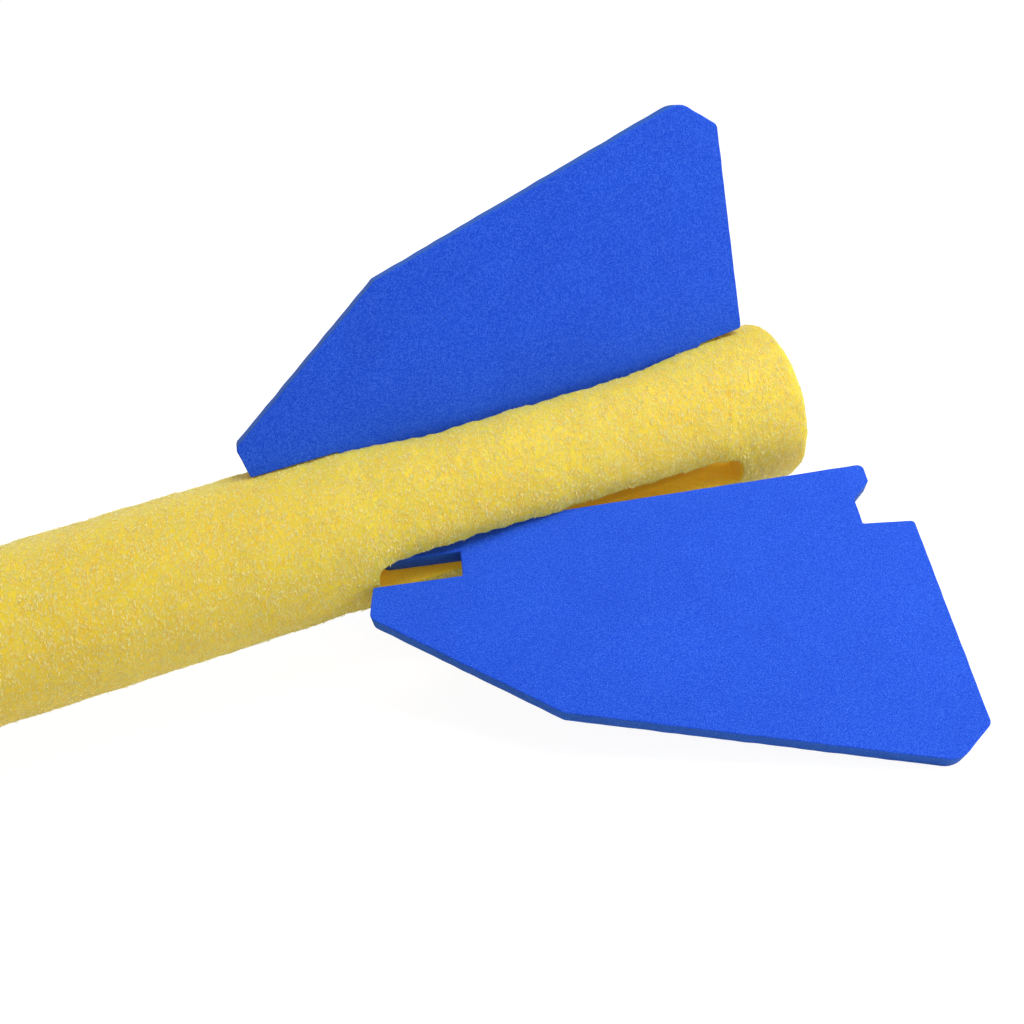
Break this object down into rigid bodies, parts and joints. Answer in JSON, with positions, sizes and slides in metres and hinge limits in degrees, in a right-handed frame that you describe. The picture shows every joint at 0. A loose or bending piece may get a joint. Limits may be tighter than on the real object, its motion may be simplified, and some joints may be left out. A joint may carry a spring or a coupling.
{
  "type": "foam javelin",
  "caption": "Soft throwing javelin: a foam tube with a blunt soft nose and flat fins whose hooked tabs sit in slits at the tail, the front fin worked loose.",
  "frame": {"origin": "on the tube's axis, at the middle of the smooth grip between the nose and the fins", "axes": "+X along the tube toward the tail, +Z out along the top fin, +Y away from the loose fin"},
  "size_m": [0.7601, 0.2564, 0.2132],
  "materials": {
    "tube_foam": "pale yellow expanded foam with a crinkled matt skin",
    "fin_foam": "blue die-cut closed-cell foam sheet, fine matt grain",
    "nose_rubber": "blue soft moulded foam rubber, matt"
  },
  "bodies": {
    "javelin": {"foam_tube": "tube_foam", "nose_cone": "nose_rubber", "fin_top": "fin_foam", "fin_back": "fin_foam"},
    "loose_fin": {"fin_front": "fin_foam"}
  },
  "joints": [
    {"name": "fin_pull", "type": "slide", "parent": "javelin", "child": "loose_fin", "axis": [0, -0.866, -0.5], "range_m": [0, 0.03]}
  ]
}
